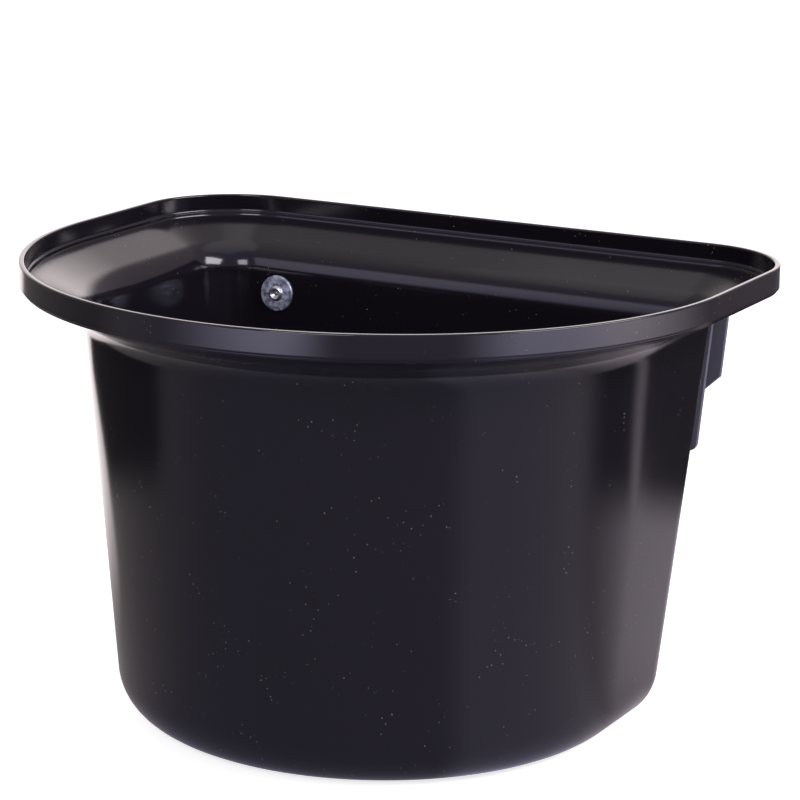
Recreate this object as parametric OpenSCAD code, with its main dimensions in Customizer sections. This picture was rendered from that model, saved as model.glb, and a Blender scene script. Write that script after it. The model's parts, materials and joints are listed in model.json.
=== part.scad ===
// Hanging feed bucket for a stable.
// A moulded D-shaped tub hangs on a rail by a folded steel hook plate, which two blind rivets
// hold to the flat back wall through large washers on the inside.
//
// Frame: X to the side, +Y to the back (the flat wall), +Z up.
// The origin is the middle of the footprint, on the surface that the tub stands on.

/* [Rim] */
// Width of the rim from side to side
rim_w = 410; // [360:5:460]
// Depth of the rim from its flat back to its round front
rim_d = 341; // [325:1:380]
// Radius of the two back corners of the rim
rim_corner_r = 60.5; // [55:0.5:75]
// Height of the upright band that goes round the rim
band_h = 13.4; // [11:0.2:15]
// Thickness of the band
band_t = 3.2; // [2.5:0.1:3.6]
// Height of the lip above the narrow ledge inside it
lip_h = 10.5; // [9:0.5:11.5]
// Height of the whole flange, from where the walls turn outwards to the top of the rim
flange_h = 41.2; // [40:0.2:46]
// Radius of the cove in which the walls turn outwards
cove_r = 16; // [15:0.5:20]

/* [Tub] */
// Height of the tub
tub_h = 266; // [240:1:300]
// Thickness of the walls
wall_t = 3; // [2.5:0.1:4]
// Thickness of the floor
floor_t = 3.5; // [3:0.1:5]
// How far the side and front walls stand in from the rim, at the top
side_in_top = 37; // [35:0.5:44]
// How far the side and front walls stand in from the rim, at the base
side_in_base = 56; // [50:0.5:66]
// How far the back wall stands in from the rim, at the top
back_in_top = 39.5; // [38:0.5:44]
// How far the back wall stands in from the rim, at the base
back_in_base = 57; // [50:0.5:66]
// Radius of the wall's back corners at the top
corner_r_top = 28.5; // [24:0.5:34]
// Radius of the wall's back corners at the base
corner_r_base = 31.5; // [31:0.5:40]
// Radius of the rounded edge between the walls and the base
base_r = 28.5; // [15:0.5:29]

/* [Hook plate] */
// Thickness of the steel sheet
plate_t = 3; // [2:0.5:4]
// Clear gap between the leg and the tongue, which takes a board or rail
hook_gap = 20; // [16:1:30]
// Width of the plate at the height of the rivets
plate_w = 320; // [300:1:324]
// Angle at which each end of the plate follows the side walls
plate_taper = 3.8; // [0:0.1:5]
// Height of the rivets
rivet_z = 214; // [200:0.5:215]
// Length of the leg below the rivets
leg_below = 62; // [40:1:90]
// Length of the tongue below the rivets
tongue_below = 30; // [20:0.5:60]
// Height above the rivets at which the plate starts to fold over
fold_above = 11; // [5:0.5:12]
// Cut across each lower corner of the tongue
tongue_chamfer = 9.5; // [4:0.5:14]
// Radius of each lower corner of the leg
leg_corner_r = 5; // [3:0.5:10]

/* [Rivets] */
// Distance between the two rivets
rivet_spacing = 248; // [200:2:270]
// Radius of the rivet's shank
shank_r = 2.4; // [2:0.1:3.2]
// Radius of the rivet's domed head
head_r = 4.75; // [4:0.05:6.5]
// Height of the domed head
head_h = 1.7; // [1.2:0.1:2.2]
// Radius of the washer under the head
washer_r = 11; // [9:0.5:15]
// Thickness of the washer
washer_t = 1.5; // [1:0.1:2.5]

/* [Hidden] */

// places in the rim
rim_back_y = rim_d / 2;
half_w = rim_w / 2;
arc_y = rim_back_y - rim_d + half_w;        // centre of the round front
ledge_z = tub_h - lip_h;                    // top of the ledge inside the lip
ledge_in = band_t + 1.4;                    // inner edge of the ledge
step_h = 1.9;                               // small step down from the ledge
cove_z = tub_h - flange_h;                  // height of the cove's centre
cove_end = 65.5;                            // the cove turns this far, then runs straight to the foot
shoulder_end = 65.5;                        // the same on the inside, up to the step
band_z = tub_h - band_h;                    // lower edge of the band
lip_round = band_t / 2;                     // rounding over the top of the lip
foot_h = 1.6;                               // small stepped foot under the band
foot_in = 1.4;
edge_r = 0.6;                               // broken lower edge of the band

// slopes of the walls
side_lean = atan((side_in_base - side_in_top) / cove_z);
back_lean = atan((back_in_base - back_in_top) / cove_z);
wall_n = wall_t * cos(back_lean);           // thickness square to the back wall
wall_top_z = cove_z + cove_r * sin(side_lean);  // where the straight walls end

// steps round each curve
corner_steps = 8;
front_steps = 32;
curve_steps = 6;

// rivets and their holes
hole_r = shank_r + 0.1;
bulb_r = 3.6;                               // set end of the rivet behind the plate
bulb_h = 3.4;
sink_r = 2.9;                               // dish in the head, down to the stem's bore
sink_h = 1.3;
stem_r = 1.25;                              // stem left in the rivet after it is pulled
stem_bore_r = 1.3;
stem_head_r = 2.2;
stem_head_h = 1.6;
stem_sunk = 1;                              // how deep in the head the stem broke off
rivet_x = rivet_spacing / 2;
fold_r = hook_gap / 2;                      // inner radius of the fold
tongue_y = plate_t + hook_gap;              // front of the tongue, from the back wall
far = 400;                                  // larger than any piece, for cutting

// ---- walls: each offset is measured inwards from the rim's outline ----

// Offset at height z of a wall that runs straight from `top` to `base`.
function line_in(top, base, z) = base + (top - base) * z / cove_z;

// The same wall with a rounded edge of radius r into a floor at height z0.
function wall_in(top, base, extra, r, z0, z) =
    let (lean = atan((base - top) / cove_z),
         centre = line_in(top, base, z0 + r) + extra + r / cos(lean),
         up = z - z0)
    up > r * (1 - sin(lean)) ? line_in(top, base, z) + extra
                             : centre - sqrt(max(0, r * r - (r - up) * (r - up)));

// Offset of a curve of radius r about the cove's centre, at height z.
function cove_in(top, lean, r, z) =
    top - cove_r / cos(lean) + sqrt(max(0, r * r - (z - cove_z) * (z - cove_z)));

// Corner radius of the walls at height z, and of the rim at a given side offset.
function corner_line(z) = corner_r_base + (corner_r_top - corner_r_base) * z / cove_z;
function corner_rim(side) = rim_corner_r - side * (rim_corner_r - corner_r_top) / side_in_top;

// One ring is [side offset, back offset, corner radius, height].
function wall_ring(extra, r, z0, z) =
    let (side = wall_in(side_in_top, side_in_base, extra, r, z0, z),
         back = wall_in(back_in_top, back_in_base, extra, r, z0, z))
    [side, back, corner_line(z) - (side - line_in(side_in_top, side_in_base, z)), z];

function cove_ring(r, a) =
    let (z = cove_z + r * sin(a),
         side = cove_in(side_in_top, side_lean, r, z),
         back = cove_in(back_in_top, back_lean, r, z))
    [side, back, corner_rim(side), z];

function rim_ring(in, z) = [in, in, corner_rim(in), z];

// Heights round the base edge, from the floor up.
function edge_zs(r, z0) =
    [for (i = [curve_steps:-1:0]) z0 + r * (1 - sin(90 * i / curve_steps))];

// Angles up a cove that ends at a given angle, above where it leaves the wall.
function cove_angles(end) =
    [for (i = [1:curve_steps]) side_lean + (end - side_lean) * i / curve_steps];

outer_rings = concat(
    [for (z = edge_zs(base_r, 0)) wall_ring(0, base_r, 0, z)],
    [wall_ring(0, base_r, 0, wall_top_z)],
    [for (a = cove_angles(cove_end)) cove_ring(cove_r, a)],
    [rim_ring(foot_in, band_z - foot_h),
     rim_ring(foot_in, band_z),
     rim_ring(edge_r, band_z),
     rim_ring(0, band_z + edge_r)]);

lip_rings = [for (a = [180:-45:0])
    rim_ring(lip_round * (1 + cos(a)), tub_h - lip_round + lip_round * sin(a))];

inner_rings = concat(
    [rim_ring(band_t, ledge_z),
     rim_ring(ledge_in, ledge_z),
     rim_ring(ledge_in, ledge_z - step_h)],
    [for (i = [curve_steps - 1:-1:0]) cove_ring(cove_r + wall_t, cove_angles(shoulder_end)[i])],
    [wall_ring(wall_t, base_r - wall_t, floor_t, wall_top_z)],
    [for (i = [curve_steps:-1:0])
        wall_ring(wall_t, base_r - wall_t, floor_t, edge_zs(base_r - wall_t, floor_t)[i])]);

// The D-shaped outline of one ring: a back corner, the round front and the other back corner.
function ring_points(ring) =
    let (w = half_w - ring[0], y = rim_back_y - ring[1], r = ring[2], z = ring[3])
    concat(
        [for (i = [0:corner_steps]) let (a = 90 - 90 * i / corner_steps)
            [w - r + r * cos(a), y - r + r * sin(a), z]],
        [for (i = [0:front_steps]) let (a = -180 * i / front_steps)
            [w * cos(a), arc_y + w * sin(a), z]],
        [for (i = [0:corner_steps]) let (a = 180 - 90 * i / corner_steps)
            [-w + r + r * cos(a), y - r + r * sin(a), z]]);

// A closed skin through a list of rings, with a flat face across the first and the last.
module skin(rings) {
    n = 2 * (corner_steps + 1) + front_steps + 1;
    last = (len(rings) - 1) * n;
    polyhedron(
        points = [for (ring = rings) each ring_points(ring)],
        faces = concat(
            [[for (i = [n - 1:-1:0]) i]],
            [for (k = [0:len(rings) - 2], i = [0:n - 1])
                [k * n + i, k * n + (i + 1) % n, (k + 1) * n + (i + 1) % n, (k + 1) * n + i]],
            [[for (i = [0:n - 1]) last + i]]),
        convexity = 6);
}

// Frame of the leaning back wall: the origin is on its outer face at the height of the rivets,
// Y points out of the wall and Z runs up along it.
module on_back_wall() {
    translate([0, rim_back_y - line_in(back_in_top, back_in_base, rivet_z), rivet_z])
        rotate([-back_lean, 0, 0])
            children();
}

// A cylinder along Y from y0 to y1 at one rivet.
module along_y(r, y0, y1, side) {
    translate([side * rivet_x, y0, 0])
        rotate([-90, 0, 0])
            cylinder(r = r, h = y1 - y0, $fn = 48);
}

module tub() {
    color([0.03, 0.03, 0.035])
        difference() {
            skin(concat(outer_rings, lip_rings, inner_rings));
            on_back_wall()
                for (side = [-1, 1])
                    along_y(hole_r, -4 * wall_t, 2 * wall_t, side);
        }
}

// Side view of the folded sheet: leg, fold and tongue, in Y and Z of the back wall's frame.
module plate_profile() {
    translate([0, -leg_below])
        square([plate_t, leg_below + fold_above]);
    translate([tongue_y, -tongue_below])
        square([plate_t, tongue_below + fold_above]);
    translate([plate_t + fold_r, fold_above])
        difference() {
            circle(r = fold_r + plate_t, $fn = 96);
            circle(r = fold_r, $fn = 96);
            translate([-far, -2 * far])
                square([2 * far, 2 * far]);
        }
}

// Half width of the plate at a height in the back wall's frame.
function plate_half(z) = plate_w / 2 + z * tan(plate_taper);

// Front view of the whole plate, with ends that follow the side walls.
module plate_outline() {
    top = fold_above + fold_r + 2 * plate_t;
    low = -leg_below - plate_t;
    polygon([[plate_half(top), top], [plate_half(low), low],
             [-plate_half(low), low], [-plate_half(top), top]]);
}

// What is cut from the leg to round one of its lower corners.
module leg_corner(side) {
    r = leg_corner_r;
    translate([side * plate_half(-leg_below), -leg_below])
        difference() {
            square(2 * r, center = true);
            translate([-side * r, r])
                circle(r = r, $fn = 48);
        }
}

// What is cut from the tongue across one of its lower corners.
module tongue_corner(side) {
    cut = tongue_chamfer;
    translate([side * plate_half(-tongue_below), -tongue_below])
        polygon([[side * cut, 2 * cut], [side * cut, -cut], [-side * 2 * cut, -cut]]);
}

// A front view carried through from y0 to y1.
module through_y(y0, y1) {
    translate([0, y1, 0])
        rotate([90, 0, 0])
            linear_extrude(y1 - y0)
                children();
}

module hook_plate() {
    middle_y = plate_t + fold_r;
    color([0.10, 0.10, 0.115])
        on_back_wall()
            difference() {
                intersection() {
                    rotate([90, 0, 90])
                        translate([0, 0, -far / 2])
                            linear_extrude(far)
                                plate_profile();
                    through_y(-middle_y, 3 * middle_y) plate_outline();
                }
                for (side = [-1, 1]) {
                    through_y(-middle_y, middle_y) leg_corner(side);
                    through_y(middle_y, 3 * middle_y) tongue_corner(side);
                    along_y(hole_r, -plate_t, 2 * plate_t, side);
                }
            }
}

module washer(side) {
    color([0.72, 0.73, 0.75])
        on_back_wall()
            difference() {
                along_y(washer_r, -wall_n - washer_t, -wall_n, side);
                along_y(hole_r, -4 * wall_t, 0, side);
            }
}

// A set blind rivet, turned about its own axis: dished head, shank and swollen far end.
module rivet(side) {
    head_y = -wall_n - washer_t;
    dome_r = (head_r * head_r + head_h * head_h) / (2 * head_h);
    color([0.80, 0.81, 0.83])
        on_back_wall()
            difference() {
                union() {
                    intersection() {
                        along_y(head_r, head_y - head_h, head_y, side);
                        translate([side * rivet_x, head_y - head_h + dome_r, 0])
                            sphere(r = dome_r, $fn = 96);
                    }
                    along_y(shank_r, head_y, plate_t + bulb_h, side);
                    along_y(bulb_r, plate_t, plate_t + bulb_h, side);
                }
                along_y(stem_bore_r, head_y - 2 * head_h, plate_t + 2 * bulb_h, side);
                translate([side * rivet_x, head_y - head_h, 0])
                    rotate([-90, 0, 0])
                        cylinder(r1 = sink_r, r2 = stem_bore_r, h = sink_h, $fn = 48);
            }
}

// The part of the pulling stem that stays in the rivet, with its head against the far end.
module rivet_stem(side) {
    tip_y = -wall_n - washer_t - head_h + stem_sunk;
    color([0.45, 0.46, 0.48])
        on_back_wall() {
            along_y(stem_r, tip_y, plate_t + bulb_h + stem_head_h, side);
            along_y(stem_head_r, plate_t + bulb_h, plate_t + bulb_h + stem_head_h, side);
        }
}

tub();
hook_plate();
washer(-1);  // left_washer
washer(1);  // right_washer
rivet(-1);  // left_rivet
rivet(1);  // right_rivet
rivet_stem(-1);  // left_rivet_stem
rivet_stem(1);  // right_rivet_stem
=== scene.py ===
"""Looks of a hanging feed bucket: a glossy black moulded tub, its steel hook plate and its rivets."""

import json
import math

import bmesh
import bpy
from mathutils import Matrix, Vector


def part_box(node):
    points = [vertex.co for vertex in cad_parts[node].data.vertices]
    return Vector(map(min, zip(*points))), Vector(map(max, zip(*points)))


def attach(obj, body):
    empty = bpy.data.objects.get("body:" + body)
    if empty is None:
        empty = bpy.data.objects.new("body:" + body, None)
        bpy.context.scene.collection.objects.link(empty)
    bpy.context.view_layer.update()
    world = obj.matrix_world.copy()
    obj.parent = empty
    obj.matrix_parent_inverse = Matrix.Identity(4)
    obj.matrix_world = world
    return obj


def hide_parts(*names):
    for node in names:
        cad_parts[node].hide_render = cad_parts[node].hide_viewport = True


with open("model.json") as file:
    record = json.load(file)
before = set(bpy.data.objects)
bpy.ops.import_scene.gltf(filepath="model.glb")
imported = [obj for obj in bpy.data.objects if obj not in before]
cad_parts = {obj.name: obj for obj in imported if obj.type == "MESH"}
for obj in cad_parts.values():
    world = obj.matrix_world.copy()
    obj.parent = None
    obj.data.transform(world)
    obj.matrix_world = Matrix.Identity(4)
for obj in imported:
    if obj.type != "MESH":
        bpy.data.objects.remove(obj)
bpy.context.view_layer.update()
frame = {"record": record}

MM = 0.001
HANDS = ("left", "right")

# ---- places taken from the frame ----

tub_low, tub_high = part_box("tub")
RIM_W = tub_high.x - tub_low.x
TUB_H = tub_high.z
BACK_Y = tub_high.y
ARC_Y = tub_low.y + RIM_W / 2            # centre of the round front

tongue_face = next(m for m in frame["record"]["mounts"] if m["name"] == "tongue_inner_face")
WALL_OUT = -Vector(tongue_face["axis"])  # square out of the leaning back wall
WALL_UP = Vector((0, -WALL_OUT.z, WALL_OUT.y))
LEAN = math.atan2(WALL_UP.y, WALL_UP.z)

# ---- sizes of the tub's section, as it was designed ----

BAND_H = 13.4 * MM                       # upright band round the rim
BAND_T = 3.2 * MM
LIP_H = 10.5 * MM                        # lip above the narrow ledge inside it
LEDGE_IN = BAND_T + 1.4 * MM             # inner edge of the ledge
STEP_H = 1.9 * MM                        # small step down from the ledge
WALL_T = 3 * MM
FLOOR_T = 3.5 * MM
FLANGE_H = 41.2 * MM                     # from where the walls turn outwards up to the rim
COVE_R = 16 * MM                         # cove in which the walls turn outwards
COVE_END = math.radians(65.5)            # the cove turns this far, then runs straight
SHOULDER_END = math.radians(65.5)        # the same on the inside
FOOT_H = 1.6 * MM                        # stepped foot under the band
FOOT_IN = 1.4 * MM
EDGE_R = 0.6 * MM
SIDE_IN = (37 * MM, 56 * MM)             # walls' offset from the rim, at the top and at the base
BACK_IN = (39.5 * MM, 57 * MM)
CORNER_R = (28.5 * MM, 31.5 * MM)        # back corners of the walls, at the top and at the base
RIM_CORNER_R = 60.5 * MM
BASE_R = 28.5 * MM                       # rounded edge between walls and base

# ---- sizes of the metal parts ----

PLATE_T = 3 * MM
HOOK_GAP = 20 * MM
PLATE_HALF = 160 * MM                    # half the plate's width at the height of the rivets
PLATE_TAPER = math.radians(3.8)
LEG_BELOW = 62 * MM
TONGUE_BELOW = 30 * MM
FOLD_ABOVE = 11 * MM
LEG_CORNER_R = 5 * MM
TONGUE_CUT = 9.5 * MM
WASHER_R = 11 * MM
WASHER_T = 1.5 * MM
HOLE_R = 2.5 * MM
SHANK_R = 2.4 * MM
HEAD_R = 4.75 * MM
HEAD_H = 1.7 * MM
BULB_R = 3.6 * MM
BULB_H = 3.4 * MM
STEM_R = 1.25 * MM
STEM_BORE_R = 1.3 * MM
STEM_HEAD_R = 2.2 * MM
STEM_HEAD_H = 1.6 * MM
STEM_SUNK = 1 * MM                       # how deep in the head the stem broke off
SINK_R = 2.9 * MM                        # dish in the rivet's head
SINK_H = 1.3 * MM

LEDGE_Z = TUB_H - LIP_H
COVE_Z = TUB_H - FLANGE_H                # height of the cove's centre
BAND_Z = TUB_H - BAND_H
SIDE_LEAN = math.atan((SIDE_IN[1] - SIDE_IN[0]) / COVE_Z)
WALL_N = WALL_T * math.cos(LEAN)         # thickness square to the back wall


# ---- camera ----

def aim_camera():
    """A long lens, a little above the rim, to the right of the round front."""
    azimuth = math.radians(28.04)
    elevation = math.radians(13.78)
    roll = math.radians(0.76)
    distance = 1.7573
    target = Vector((0.0261, 0.0069, 0.1913))
    back = Vector((math.sin(azimuth) * math.cos(elevation),
                   -math.cos(azimuth) * math.cos(elevation),
                   math.sin(elevation)))
    right = (-back).cross(Vector((0, 0, 1))).normalized()
    up = right.cross(-back)
    tilted_right = right * math.cos(roll) + up * math.sin(roll)
    tilted_up = up * math.cos(roll) - right * math.sin(roll)
    data = bpy.data.cameras.new("camera")
    data.sensor_width = 36
    data.lens = 141.5
    data.clip_end = 50
    camera = bpy.data.objects.new("camera", data)
    turn = Matrix((tilted_right, tilted_up, back)).transposed().to_4x4()
    camera.matrix_world = Matrix.Translation(target + back * distance) @ turn
    bpy.context.scene.collection.objects.link(camera)
    bpy.context.scene.camera = camera


# ---- shader sockets as values ----

class Value:
    """A shader socket that can be added, multiplied and so on; each step adds its Math node."""

    def __init__(self, tree, socket):
        self.tree = tree
        self.socket = socket

    def node(self, kind, settings=None, inputs=None, output=0):
        """Any node: its type, its settings first, then its sockets' values or links."""
        made = self.tree.nodes.new(kind)
        for name, setting in (settings or {}).items():
            if name == "stops":
                ramp = made.color_ramp.elements
                while len(ramp) < len(setting):
                    ramp.new(0.5)
                for stop, (place, level) in zip(ramp, setting):
                    stop.position = place
                    stop.color = (level, level, level, 1)
            else:
                setattr(made, name, setting)
        for name, given in (inputs or {}).items():
            if isinstance(given, Value):
                self.tree.links.new(given.socket, made.inputs[name])
            else:
                made.inputs[name].default_value = given
        return Value(self.tree, made.outputs[output])

    def math(self, operation, first, second=0.0):
        return self.node("ShaderNodeMath", {"operation": operation}, {0: first, 1: second})

    def __add__(self, other):
        return self.math("ADD", self, other)

    def __mul__(self, other):
        return self.math("MULTIPLY", self, other)

    def __sub__(self, other):
        return self.math("SUBTRACT", self, other)

    def __rsub__(self, other):
        return self.math("SUBTRACT", other, self)

    def __pow__(self, other):
        return self.math("POWER", self, other)

    __radd__ = __add__
    __rmul__ = __mul__

    def mix(self, factor, first, second):
        return self.node("ShaderNodeMix", {"data_type": "RGBA"},
                         {"Factor": factor, 6: first, 7: second}, output=2)

    def above(self, low, high):
        """0 below low, 1 above high, and a smooth rise between."""
        return self.node("ShaderNodeMapRange", {"interpolation_type": "SMOOTHSTEP"},
                         {"Value": self, "From Min": low, "From Max": high})


class Finish:
    """A new material with a Principled shader, and the few patterns that the finishes share."""

    def __init__(self, name, **constants):
        self.material = bpy.data.materials.new(name)
        self.material.use_nodes = True
        self.tree = self.material.node_tree
        self.shader = self.tree.nodes["Principled BSDF"]
        for socket, value in constants.items():
            self.shader.inputs[socket.replace("_", " ")].default_value = value
        self.any = Value(self.tree, None)
        self.place = self.any.node("ShaderNodeTexCoord", output="Object")

    def stretched(self, x, y, z):
        """Object coordinates scaled apart, for a pattern that runs along one axis."""
        return self.any.node("ShaderNodeMapping", {}, {"Vector": self.place, "Scale": (x, y, z)})

    def noise(self, scale, detail=2.0, rough=0.5, where=None):
        return self.any.node("ShaderNodeTexNoise", {},
                             {"Vector": where or self.place, "Scale": scale,
                              "Detail": detail, "Roughness": rough})

    def cells(self, scale, where=None, output="Distance"):
        return self.any.node("ShaderNodeTexVoronoi", {},
                             {"Vector": where or self.place, "Scale": scale}, output)

    def mix(self, factor, first, second):
        return self.any.mix(factor, first, second)

    def bump(self, height, distance, strength=1.0, normal=None):
        inputs = {"Height": height, "Distance": distance, "Strength": strength}
        if normal is not None:
            inputs["Normal"] = normal
        return self.any.node("ShaderNodeBump", {}, inputs)

    def feed(self, **links):
        for socket, value in links.items():
            self.tree.links.new(value.socket, self.shader.inputs[socket.replace("_", " ")])
        return self.material


# ---- finishes ----

def moulded_black_plastic():
    """Glossy black polyethylene: faint waves of the mould, dust specks and upright hairlines."""
    finish = Finish("moulded_black_plastic", IOR=1.5)
    waves = finish.noise(14, 1.0)
    flow = finish.noise(30, 2.0, where=finish.stretched(1, 1, 0.15))
    specks = 1 - finish.cells(300).above(0.06, 0.13)
    sparse = finish.noise(55, 3.0, 0.6).above(0.52, 0.64)
    dust = specks * sparse
    hairs = finish.noise(900, 2.0, 0.6, where=finish.stretched(1, 1, 0.02)).above(0.66, 0.8)
    patches = finish.noise(18, 2.0).above(0.52, 0.7)
    hairlines = hairs * patches
    colour = finish.mix(dust * 0.6, (0.0068, 0.0056, 0.0086, 1), (0.30, 0.28, 0.28, 1))
    roughness = 0.11 + 0.05 * flow + 0.3 * dust + 0.12 * hairlines
    moulded = finish.bump(waves, 1.2 * MM, 0.25)
    scuffed = finish.bump(hairlines + dust * 2, 0.03 * MM, 0.5, moulded)
    return finish.feed(Base_Color=colour, Roughness=roughness, Normal=scuffed)


def black_powder_coat():
    """Semi-gloss black powder coat with its fine orange peel."""
    finish = Finish("black_powder_coat", IOR=1.5)
    peel = finish.noise(900, 2.0)
    drift = finish.noise(25, 2.0)
    colour = finish.mix(drift, (0.085, 0.082, 0.112, 1), (0.125, 0.12, 0.16, 1))
    return finish.feed(Base_Color=colour, Roughness=0.4 + 0.12 * drift,
                       Normal=finish.bump(peel, 0.08 * MM, 0.5))


def bright_zinc():
    """Zinc plate on stamped steel: cloudy brightness and fine tumbling marks."""
    finish = Finish("bright_zinc", Metallic=0.8)
    clouds = finish.noise(320, 3.0, 0.65).above(0.36, 0.66)
    marks = finish.noise(900, 3.0, 0.6)
    colour = finish.mix(clouds, (0.20, 0.23, 0.31, 1), (0.64, 0.68, 0.80, 1))
    return finish.feed(Base_Color=colour, Roughness=0.38 + 0.2 * clouds,
                       Normal=finish.bump(marks, 0.12 * MM, 0.7))


def satin_aluminium():
    """Soft satin aluminium of the rivets."""
    finish = Finish("satin_aluminium", Metallic=1.0)
    grain = finish.noise(1500, 2.0)
    colour = finish.mix(grain, (0.62, 0.63, 0.65, 1), (0.78, 0.79, 0.81, 1))
    return finish.feed(Base_Color=colour, Roughness=0.26 + 0.14 * grain,
                       Normal=finish.bump(grain, 0.03 * MM, 0.4))


def snapped_steel():
    """Plain drawn steel, dull where the stem broke."""
    finish = Finish("snapped_steel", Metallic=1.0)
    grain = finish.noise(2500, 3.0, 0.7)
    colour = finish.mix(grain, (0.25, 0.25, 0.26, 1), (0.42, 0.42, 0.44, 1))
    return finish.feed(Base_Color=colour, Roughness=0.35 + 0.2 * grain,
                       Normal=finish.bump(grain, 0.05 * MM, 0.6))


# ---- modelling steps that the pieces share ----

SMOOTH_BELOW = math.radians(35)          # edges that turn less than this are shaded smooth


def deselect():
    bpy.ops.object.select_all(action="DESELECT")


def select_only(obj):
    deselect()
    obj.select_set(True)
    bpy.context.view_layer.objects.active = obj


def edit(obj):
    select_only(obj)
    bpy.ops.object.mode_set(mode="EDIT")
    return bmesh.from_edit_mesh(obj.data)


def leave_edit():
    bpy.ops.object.mode_set(mode="OBJECT")


def apply_modifier(obj, kind, **settings):
    select_only(obj)
    modifier = obj.modifiers.new(kind.lower(), kind)
    for name, value in settings.items():
        setattr(modifier, name, value)
    bpy.ops.object.modifier_apply(modifier=modifier.name)


def finish_piece(obj, node, material):
    """Applies the object's place, smooths it, and hands it to the frame in place of its node."""
    select_only(obj)
    bpy.ops.object.transform_apply(location=True, rotation=True, scale=True)
    bpy.ops.object.shade_smooth_by_angle(angle=SMOOTH_BELOW)
    obj.name = node + "_finished"
    obj.data.materials.clear()
    obj.data.materials.append(material)
    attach(obj, "root")
    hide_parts(node)


# ---- the tub ----

CORNER_STEPS = 20
FRONT_STEPS = 96
CURVE_STEPS = 12


def d_outline(ring):
    """Points of one D-shaped ring: a back corner, the round front, the other back corner."""
    side_in, back_in, corner, z = ring
    w = RIM_W / 2 - side_in
    y = BACK_Y - back_in
    points = []
    for i in range(CORNER_STEPS + 1):
        a = math.radians(90 - 90 * i / CORNER_STEPS)
        points.append((w - corner + corner * math.cos(a), y - corner + corner * math.sin(a), z))
    for i in range(FRONT_STEPS + 1):
        a = math.radians(-180 * i / FRONT_STEPS)
        points.append((w * math.cos(a), ARC_Y + w * math.sin(a), z))
    for i in range(CORNER_STEPS + 1):
        a = math.radians(180 - 90 * i / CORNER_STEPS)
        points.append((corner - w + corner * math.cos(a), y - corner + corner * math.sin(a), z))
    return points


def line_in(offsets, z):
    """Offset of a straight wall at height z."""
    return offsets[1] + (offsets[0] - offsets[1]) * z / COVE_Z


def wall_in(offsets, extra, r, floor_z, z):
    """The same wall, rounded into a floor."""
    lean = math.atan((offsets[1] - offsets[0]) / COVE_Z)
    up = z - floor_z
    if up > r * (1 - math.sin(lean)):
        return line_in(offsets, z) + extra
    centre = line_in(offsets, floor_z + r) + extra + r / math.cos(lean)
    return centre - math.sqrt(max(0, r * r - (r - up) ** 2))


def wall_ring(extra, r, floor_z, z):
    side = wall_in(SIDE_IN, extra, r, floor_z, z)
    back = wall_in(BACK_IN, extra, r, floor_z, z)
    corner = line_in(CORNER_R, z) - (side - line_in(SIDE_IN, z))
    return side, back, corner, z


def rim_corner(side_in):
    return RIM_CORNER_R - side_in * (RIM_CORNER_R - CORNER_R[0]) / SIDE_IN[0]


def cove_ring(r, angle):
    z = COVE_Z + r * math.sin(angle)
    reach = math.sqrt(max(0, r * r - (z - COVE_Z) ** 2))
    side = SIDE_IN[0] - COVE_R / math.cos(SIDE_LEAN) + reach
    back = BACK_IN[0] - COVE_R / math.cos(LEAN) + reach
    return side, back, rim_corner(side), z


def cove_angles(end):
    """Angles up the cove, above where it leaves the wall."""
    return [SIDE_LEAN + (end - SIDE_LEAN) * i / CURVE_STEPS for i in range(1, CURVE_STEPS + 1)]


def rim_ring(inward, z):
    return inward, inward, rim_corner(inward), z


def rounded(inward, z, r, first, last, steps=4):
    """Rings round a small edge or fillet, from the angle first to the angle last."""
    rings = []
    for i in range(steps + 1):
        a = math.radians(first + (last - first) * i / steps)
        rings.append(rim_ring(inward - r * math.cos(a), z + r * math.sin(a)))
    return rings


def beside(ring, other, distance):
    """A ring a little way from one ring towards another, which keeps the face between them flat."""
    share = distance / math.hypot(other[0] - ring[0], other[3] - ring[3])
    return tuple(a + (b - a) * share for a, b in zip(ring, other))


def flat_between(first, last, distance):
    return [beside(first, last, distance), beside(last, first, distance)]


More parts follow.
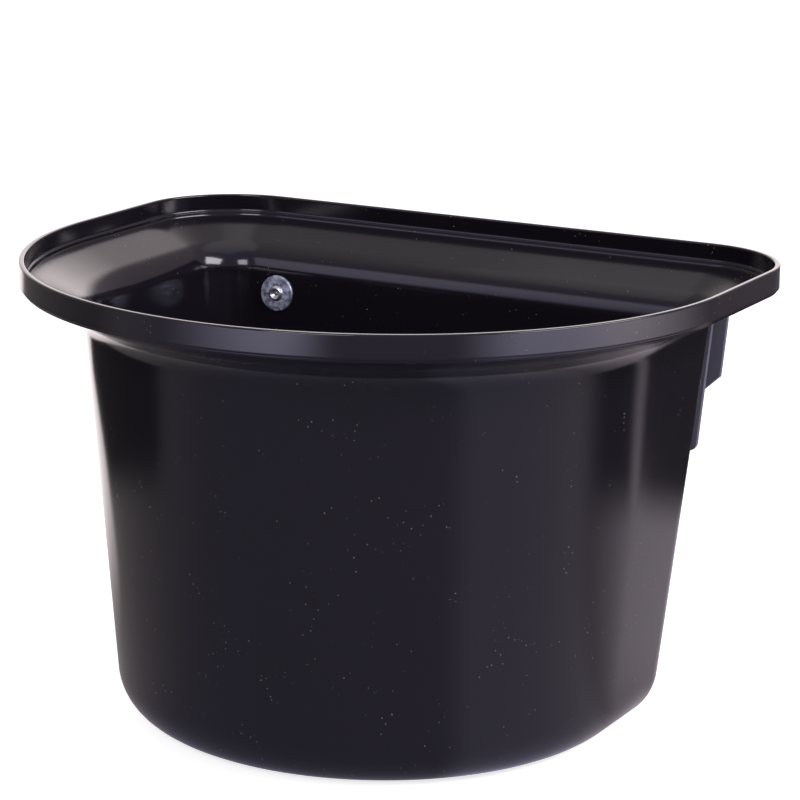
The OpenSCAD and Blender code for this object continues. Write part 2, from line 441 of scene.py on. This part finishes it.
def tub_rings():
    """The whole skin of the tub, from the base up the outside, over the lip and down inside."""
    wall_top = COVE_Z + COVE_R * math.sin(SIDE_LEAN)
    quarter = [math.pi / 2 * i / CURVE_STEPS for i in range(CURVE_STEPS + 1)]
    inner_r = BASE_R - WALL_T
    lip_r = 0.9 * MM
    heel = 0.3 * MM
    foot_z = BAND_Z - FOOT_H
    step_z = LEDGE_Z - STEP_H
    base = [wall_ring(0, BASE_R, 0, BASE_R * (1 - math.sin(a))) for a in reversed(quarter)]
    cove = [wall_ring(0, BASE_R, 0, wall_top)]
    cove += [cove_ring(COVE_R, a) for a in cove_angles(COVE_END)]
    foot = rounded(FOOT_IN + heel, foot_z + heel, heel, -90, 0)
    foot += [rim_ring(FOOT_IN, BAND_Z - heel)]
    edge = rounded(EDGE_R, BAND_Z + EDGE_R, EDGE_R, -90, 0)
    lip = rounded(lip_r, TUB_H - lip_r, lip_r, 0, 90)
    lip += rounded(BAND_T - lip_r, TUB_H - lip_r, lip_r, 90, 180)
    ledge = [rim_ring(BAND_T, LEDGE_Z + 3 * heel)]
    ledge += [rim_ring(BAND_T + heel, LEDGE_Z + heel)]
    ledge += [rim_ring(BAND_T + 2 * heel, LEDGE_Z)]
    step = rounded(LEDGE_IN - heel, LEDGE_Z - heel, heel, 90, 180)
    step += [rim_ring(LEDGE_IN, step_z + heel)]
    step += [rim_ring(LEDGE_IN + heel, step_z - heel)]
    shoulder = [cove_ring(COVE_R + WALL_T, a) for a in reversed(cove_angles(SHOULDER_END))]
    shoulder += [wall_ring(WALL_T, inner_r, FLOOR_T, wall_top)]
    floor = [wall_ring(WALL_T, inner_r, FLOOR_T, FLOOR_T + inner_r * (1 - math.sin(a)))
             for a in quarter]
    sections = (base, cove, foot, edge, lip, ledge, step, shoulder, floor)
    flats = (4 * MM, MM, 0, 0.7 * MM, 0.7 * MM, 0, MM, 4 * MM)
    rings = list(base)
    for before, after, distance in zip(sections, sections[1:], flats):
        if distance:
            rings += flat_between(before[-1], after[0], distance)
        rings += after
    return rings


def lay_on(mesh, step, outline):
    """Moves the selected ring of points onto an outline."""
    for vert in mesh.verts:
        if vert.select:
            vert.co = outline[vert[step]]


def draw_out(obj, outlines):
    """Lays a ring of points on the first outline and extrudes it through the others."""
    mesh = edit(obj)
    step = mesh.verts.layers.int.new("step")
    for place, vert in enumerate(mesh.verts):
        vert[step] = place
    bpy.ops.mesh.select_all(action="SELECT")
    lay_on(mesh, step, outlines[0])
    for outline in outlines[1:]:
        bpy.ops.mesh.extrude_region_move()
        mesh = bmesh.from_edit_mesh(obj.data)
        lay_on(mesh, mesh.verts.layers.int["step"], outline)
    bpy.ops.mesh.select_all(action="SELECT")
    bpy.ops.mesh.normals_make_consistent(inside=False)
    leave_edit()


def model_tub():
    """A disc drawn out ring by ring, up the outside of the tub and down its inside."""
    outlines = [d_outline(ring) for ring in tub_rings()]
    deselect()
    bpy.ops.mesh.primitive_circle_add(vertices=len(outlines[0]), radius=RIM_W / 2, fill_type="NGON")
    tub = bpy.context.object
    draw_out(tub, outlines)
    return tub


def wall_frame(centre):
    """Places a piece built along +Y with its washer's middle at the origin onto the back wall."""
    turn = Matrix.Rotation(-LEAN, 4, "X")
    return Matrix.Translation(centre) @ turn


def washer_middle(side):
    low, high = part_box(side + "_washer")
    return (low + high) / 2


def drill(obj, side):
    """Cuts a rivet's hole through the back wall and the leg of the plate behind it."""
    deselect()
    bpy.ops.mesh.primitive_cylinder_add(vertices=48, radius=HOLE_R, depth=8 * WALL_T)
    cutter = bpy.context.object
    cutter.matrix_world = wall_frame(washer_middle(side)) @ Matrix.Rotation(math.pi / 2, 4, "X")
    bpy.context.view_layer.update()
    apply_modifier(obj, "BOOLEAN", object=cutter, operation="DIFFERENCE", solver="EXACT")
    bpy.data.objects.remove(cutter)


# ---- the hook plate ----

def plate_half(z):
    return PLATE_HALF + z * math.tan(PLATE_TAPER)


def model_hook_plate():
    """A strip drawn up the wall and folded over and down, the tongue's corners cut off and the leg's
    corners rounded.
    """
    deselect()
    bpy.ops.mesh.primitive_plane_add(size=2)
    plate = bpy.context.object
    mesh = edit(plate)
    upwards = sorted(mesh.verts, key=lambda vert: vert.co.y)
    low = upwards[:2]
    high = upwards[2:]
    for vert in low:
        vert.co = (math.copysign(plate_half(-LEG_BELOW), vert.co.x), 0, -LEG_BELOW)
    for vert in high:
        vert.co = (math.copysign(plate_half(FOLD_ABOVE), vert.co.x), 0, FOLD_ABOVE)
    bpy.ops.mesh.select_all(action="DESELECT")
    for vert in high:
        vert.select = True
    mesh.select_flush(True)
    bend_r = HOOK_GAP / 2 + PLATE_T
    steps = 24
    for i in range(1, steps + 1):
        a = math.pi * i / steps
        z = FOLD_ABOVE + bend_r * math.sin(a)
        bpy.ops.mesh.extrude_edges_move()
        mesh = bmesh.from_edit_mesh(plate.data)
        for vert in mesh.verts:
            if vert.select:
                vert.co = (math.copysign(plate_half(z), vert.co.x), bend_r * (1 - math.cos(a)), z)
    bpy.ops.mesh.extrude_edges_move()
    mesh = bmesh.from_edit_mesh(plate.data)
    for vert in mesh.verts:
        if vert.select:
            vert.co = (math.copysign(plate_half(-TONGUE_BELOW), vert.co.x), 2 * bend_r, -TONGUE_BELOW)
    bpy.ops.mesh.bevel(offset=TONGUE_CUT, offset_type="OFFSET", segments=1, affect="VERTICES")
    bpy.ops.mesh.select_all(action="DESELECT")
    mesh = bmesh.from_edit_mesh(plate.data)
    for vert in mesh.verts:
        vert.select = vert.co.z < -LEG_BELOW + MM
    mesh.select_flush(True)
    bpy.ops.mesh.bevel(offset=LEG_CORNER_R, offset_type="OFFSET", segments=8, affect="VERTICES")
    bpy.ops.mesh.select_all(action="SELECT")
    bpy.ops.mesh.normals_make_consistent(inside=False)
    leave_edit()
    return plate


def thicken_plate(plate):
    """Gives the folded strip its thickness towards the inside of the fold, and soft edges."""
    outward = plate.data.polygons[0].normal
    apply_modifier(plate, "SOLIDIFY", thickness=PLATE_T, offset=1 if outward.y > 0 else -1)
    apply_modifier(plate, "BEVEL", width=0.5 * MM, segments=3, limit_method="ANGLE",
                   angle_limit=math.radians(50))


# ---- washers, rivets and stems ----

def lathe(profile, steps=64):
    """Draws a circle out ring by ring along a profile of (radius, distance along Y)."""
    rings = []
    for radius, along in profile:
        turns = [2 * math.pi * i / steps for i in range(steps)]
        rings.append([(radius * math.cos(a), along, radius * math.sin(a)) for a in turns])
    deselect()
    bpy.ops.mesh.primitive_circle_add(vertices=steps, radius=HEAD_R, fill_type="NOTHING")
    obj = bpy.context.object
    draw_out(obj, rings)
    edit(obj)
    bpy.ops.mesh.select_all(action="SELECT")
    bpy.ops.mesh.remove_doubles(threshold=0.005 * MM)
    bpy.ops.mesh.normals_make_consistent(inside=False)
    leave_edit()
    return obj


def arc(cx, cy, rx, ry, first, last, steps=6):
    """Points on part of an ellipse, for a profile."""
    turns = [math.radians(first + (last - first) * i / steps) for i in range(steps + 1)]
    return [(cx + rx * math.cos(a), cy + ry * math.sin(a)) for a in turns]


def washer_profile():
    """A stamped washer: rolled over on the punch side, a sharper edge on the other."""
    half = WASHER_T / 2
    roll = 0.8 * MM
    burr = 0.15 * MM
    outline = arc(WASHER_R - roll, -half + roll, roll, roll, -90, 0)
    outline += arc(WASHER_R - burr, half - burr, burr, burr, 0, 90, 2)
    outline += [(HOLE_R, half)]
    outline += arc(HOLE_R + roll, -half + roll, roll, roll, 180, 270)
    return outline + outline[:1]


def rivet_profile():
    """Dished head with a rounded ring, shank, and the swollen far end; closed down the bore."""
    head = -WASHER_T / 2
    back = WASHER_T / 2 + WALL_N + PLATE_T
    rim = 0.25 * MM
    crown = head - HEAD_H
    profile = [(STEM_BORE_R, back + BULB_H)]
    profile += [(STEM_BORE_R, crown + SINK_H)]
    profile += [(SINK_R - 0.5 * MM, crown + 0.7 * MM)]
    profile += arc(SINK_R + 0.35 * MM, crown + 0.55 * MM, 0.5 * MM, 0.5 * MM, 190, 290, 8)
    profile += arc(SINK_R, head - rim, HEAD_R - SINK_R, HEAD_H - rim - 0.1 * MM, -55, 0, 10)
    profile += [(HEAD_R, head)]
    profile += [(SHANK_R, head), (SHANK_R, back), (BULB_R - 0.5 * MM, back)]
    profile += arc(BULB_R - 0.8 * MM, back + 1.3 * MM, 0.8 * MM, 1.3 * MM, -60, 60)
    profile += [(BULB_R - 1.2 * MM, back + BULB_H)]
    return profile + profile[:1]


def stem_profile():
    """Stem with its snapped tip sunk in the head and its ball at the far end."""
    tip = -WASHER_T / 2 - HEAD_H + STEM_SUNK
    back = WASHER_T / 2 + WALL_N + PLATE_T + BULB_H
    neck = 0.3 * MM
    profile = [(0, tip + 0.15 * MM), (STEM_R * 0.45, tip), (STEM_R * 0.8, tip + 0.1 * MM)]
    profile += [(STEM_R, tip + neck), (STEM_R, back), (STEM_HEAD_R - neck, back)]
    profile += arc(STEM_HEAD_R - 0.8 * MM, back + STEM_HEAD_H / 2, 0.8 * MM, STEM_HEAD_H / 2, -60, 60)
    return profile + [(STEM_R, back + STEM_HEAD_H), (0, back + STEM_HEAD_H)]


def set_rivet(side, zinc, aluminium, steel):
    """One washer, rivet and stem at their places on the back wall."""
    place = wall_frame(washer_middle(side))
    parts = (("_washer", washer_profile(), "zinc_washer", zinc),
             ("_rivet", rivet_profile(), "rivet_aluminium", aluminium),
             ("_rivet_stem", stem_profile(), "stem_steel", steel))
    for ending, profile, slot, material in parts:
        piece = lathe(profile)
        piece.matrix_world = place
        finish_piece(piece, side + ending, material)


# ---- studio ----
# Gloss sees a room of its own, painted on the floor and the sky by turn, reach and height, so that
# the black plastic has something to show. No other ray sees it.

RIM_HEIGHT = 0.22                        # what the lamps point at

def ray(any_value, *kinds):
    """1 for rays of the given kinds and 0 for the others."""
    total = 0
    for kind in kinds:
        total = any_value.node("ShaderNodeLightPath", output="Is " + kind + " Ray") + total
    return total.above(0, 0.5)


def bearings(any_value):
    """Distance from the bucket, turn from the front towards the right, and height, in degrees."""
    place = any_value.node("ShaderNodeTexCoord", output="Object")
    x = any_value.node("ShaderNodeSeparateXYZ", {}, {"Vector": place}, output=0)
    y = any_value.node("ShaderNodeSeparateXYZ", {}, {"Vector": place}, output=1)
    z = any_value.node("ShaderNodeSeparateXYZ", {}, {"Vector": place}, output=2)
    reach = (x ** 2 + y ** 2) ** 0.5
    turn = any_value.math("ARCTAN2", x, 0 - y) * math.degrees(1)
    height = any_value.math("ARCTAN2", z, reach) * math.degrees(1)
    return reach, turn, height


def band(value, low, high, soft=6):
    """1 between low and high, fading to 0 over a soft width round each."""
    return value.above(low - soft, low + soft) * (1 - value.above(high - soft, high + soft))


ROOM = (1.0, 0.88, 1.0, 1)               # tints of what gloss shows
WARM = (1.0, 0.90, 0.91, 1)
COOL = (0.76, 0.72, 1.0, 1)


def room_tint(any_value, turn):
    """Cooler in front, where the lamps are, and warmer on the left, by the window."""
    cool = band(turn, -45, 95, 20)
    warm = 1 - turn.above(-95, -60)
    return any_value.mix(warm, any_value.mix(cool, ROOM, COOL), WARM)


def sky_glow(any_value, turn, height):
    """What gloss shows of the room: a window behind on the left, a pale ceiling, darker walls."""
    window = turn.above(-180, -164) * (1 - turn.above(-160, -106)) * (1 - height.above(12, 50))
    front_patch = band(turn, -40, -26, 3) * band(height, 12, 40, 3)
    ceiling = height.above(45, 90)
    return 0.38 + 1.85 * window + 1.3 * front_patch + 0.3 * ceiling


def light_world():
    """White where it is seen, the room where gloss shows it, and soft and even where it lights."""
    world = bpy.data.worlds.new("studio")
    bpy.context.scene.world = world
    world.use_nodes = True
    tree = world.node_tree
    any_value = Value(tree, None)
    background = tree.nodes["Background"]
    _, turn, height = bearings(any_value)
    seen = ray(any_value, "Camera", "Transmission")
    gloss = ray(any_value, "Glossy")
    room = sky_glow(any_value, turn, height)
    even = 0.45
    strength = seen + (1 - seen) * (gloss * room + even * (1 - gloss))
    colour = any_value.mix(gloss, (1, 1, 1, 1), room_tint(any_value, turn))
    tree.links.new(colour.socket, background.inputs["Color"])
    tree.links.new(strength.socket, background.inputs["Strength"])


def table_glow(any_value, reach, turn):
    """Painted light on the floor that only gloss sees: a pale table, painted shade of a darker room
    past its sides, and painted pools of the lamps' light.
    """
    near = 1 - reach.above(0.46, 0.58)
    far = reach.above(1.05, 1.25)
    window_edge = (turn + 45 * any_value.math("MINIMUM", reach, 0.85)).above(-84, -79)
    dark_left = (1 - turn.above(-66, -54)) * window_edge
    dark_right = turn.above(106, 120)
    # painted shade on the floor past the table's sides, which gloss shows on the body
    dark = (dark_left + dark_right) * (1 - near) * (0.88 - 0.35 * far)
    # painted window light on the floor towards the left
    window = (1 - window_edge) * reach.above(0.2, 0.6)
    table = (0.31 + 0.1 * far) * (1 - dark)
    side_light = band(turn, 58, 108) * (1 - far) * 0.3
    # a painted bright patch on the floor near the right side, for a painted reflection on the body
    corner = turn.above(100, 138) * near * 0.42
    # a painted bright streak on the floor, for a painted highlight line on the body's right
    painted_streak = band(turn, 136, 143, 3) * (1 - near) * (1 - far) * 0.6
    front_pool = turn.above(-40, -3) * (1 - turn.above(-1, 17)) * far
    right_pool = turn.above(48, 72) * (1 - turn.above(96, 145)) * far
    return table + side_light + corner + painted_streak + 1.3 * window + 3.2 * front_pool + 2.9 * right_pool


def lay_floor():
    """A plain pale floor that fades into the white behind it; gloss sees painted light and painted
    shade on it instead.
    """
    deselect()
    bpy.ops.mesh.primitive_plane_add(size=30)
    floor = bpy.context.object
    floor.name = "floor"
    material = bpy.data.materials.new("pale_floor")
    material.use_nodes = True
    tree = material.node_tree
    any_value = Value(tree, None)
    shader = tree.nodes["Principled BSDF"]
    shader.inputs["Base Color"].default_value = (0.7, 0.7, 0.7, 1)
    shader.inputs["Roughness"].default_value = 0.9
    shader.inputs["Specular IOR Level"].default_value = 0.0
    shader.inputs["Emission Color"].default_value = (1, 1, 1, 1)
    white = 0.76 * ray(any_value, "Camera", "Transmission")
    tree.links.new(white.socket, shader.inputs["Emission Strength"])
    # For gloss rays the floor is only an emission of painted light and painted shade, seen by no
    # other ray.
    painted_floor_glow = tree.nodes.new("ShaderNodeEmission")
    reach, turn, _ = bearings(any_value)
    tree.links.new(room_tint(any_value, turn).socket, painted_floor_glow.inputs["Color"])
    tree.links.new(table_glow(any_value, reach, turn).socket, painted_floor_glow.inputs["Strength"])
    pick = tree.nodes.new("ShaderNodeMixShader")
    tree.links.new(ray(any_value, "Glossy").socket, pick.inputs[0])
    tree.links.new(shader.outputs[0], pick.inputs[1])
    tree.links.new(painted_floor_glow.outputs[0], pick.inputs[2])
    tree.links.new(pick.outputs[0], tree.nodes["Material Output"].inputs["Surface"])
    floor.data.materials.append(material)


def add_softbox(name, place, target, width, height, power, colour=(1, 1, 1)):
    data = bpy.data.lights.new(name, "AREA")
    data.shape = "RECTANGLE"
    data.size = width
    data.size_y = height
    data.energy = power
    data.color = colour
    lamp = bpy.data.objects.new(name, data)
    lamp.location = place
    lamp.rotation_euler = (Vector(target) - Vector(place)).to_track_quat("-Z", "Y").to_euler()
    bpy.context.scene.collection.objects.link(lamp)


def lamp_place(turn, height, distance=2.2):
    """A place seen from the bucket at this turn from the front and this height, in degrees."""
    turn = math.radians(turn)
    height = math.radians(height)
    level = distance * math.cos(height)
    return level * math.sin(turn), -level * math.cos(turn), RIM_HEIGHT + distance * math.sin(height)


def light_studio():
    light_world()
    lay_floor()
    middle = (0, 0, RIM_HEIGHT)
    cool = (0.96, 0.92, 1)
    add_softbox("top_softbox", (0, 0.4, 3.2), middle, 3.0, 3.0, 8)
    add_softbox("right_softbox", lamp_place(96, 33), middle, 1.7, 0.85, 50, cool)
    add_softbox("front_softbox", lamp_place(6, 29), middle, 0.9, 0.75, 15.5, cool)


# ---- everything together ----

aim_camera()
plastic = moulded_black_plastic()
tub_piece = model_tub()
for hand in HANDS:
    drill(tub_piece, hand)
finish_piece(tub_piece, "tub", plastic)

hook = model_hook_plate()
thicken_plate(hook)
washer = washer_middle("left")
wall_face = Vector((0, washer.y, washer.z)) + WALL_OUT * (WASHER_T / 2 + WALL_N)
hook.matrix_world = wall_frame(wall_face)
for hand in HANDS:
    drill(hook, hand)
finish_piece(hook, "hook_plate", black_powder_coat())

zinc = bright_zinc()
aluminium = satin_aluminium()
steel = snapped_steel()
for hand in HANDS:
    set_rivet(hand, zinc, aluminium, steel)

light_studio()
bpy.context.scene.view_settings.view_transform = "Standard"
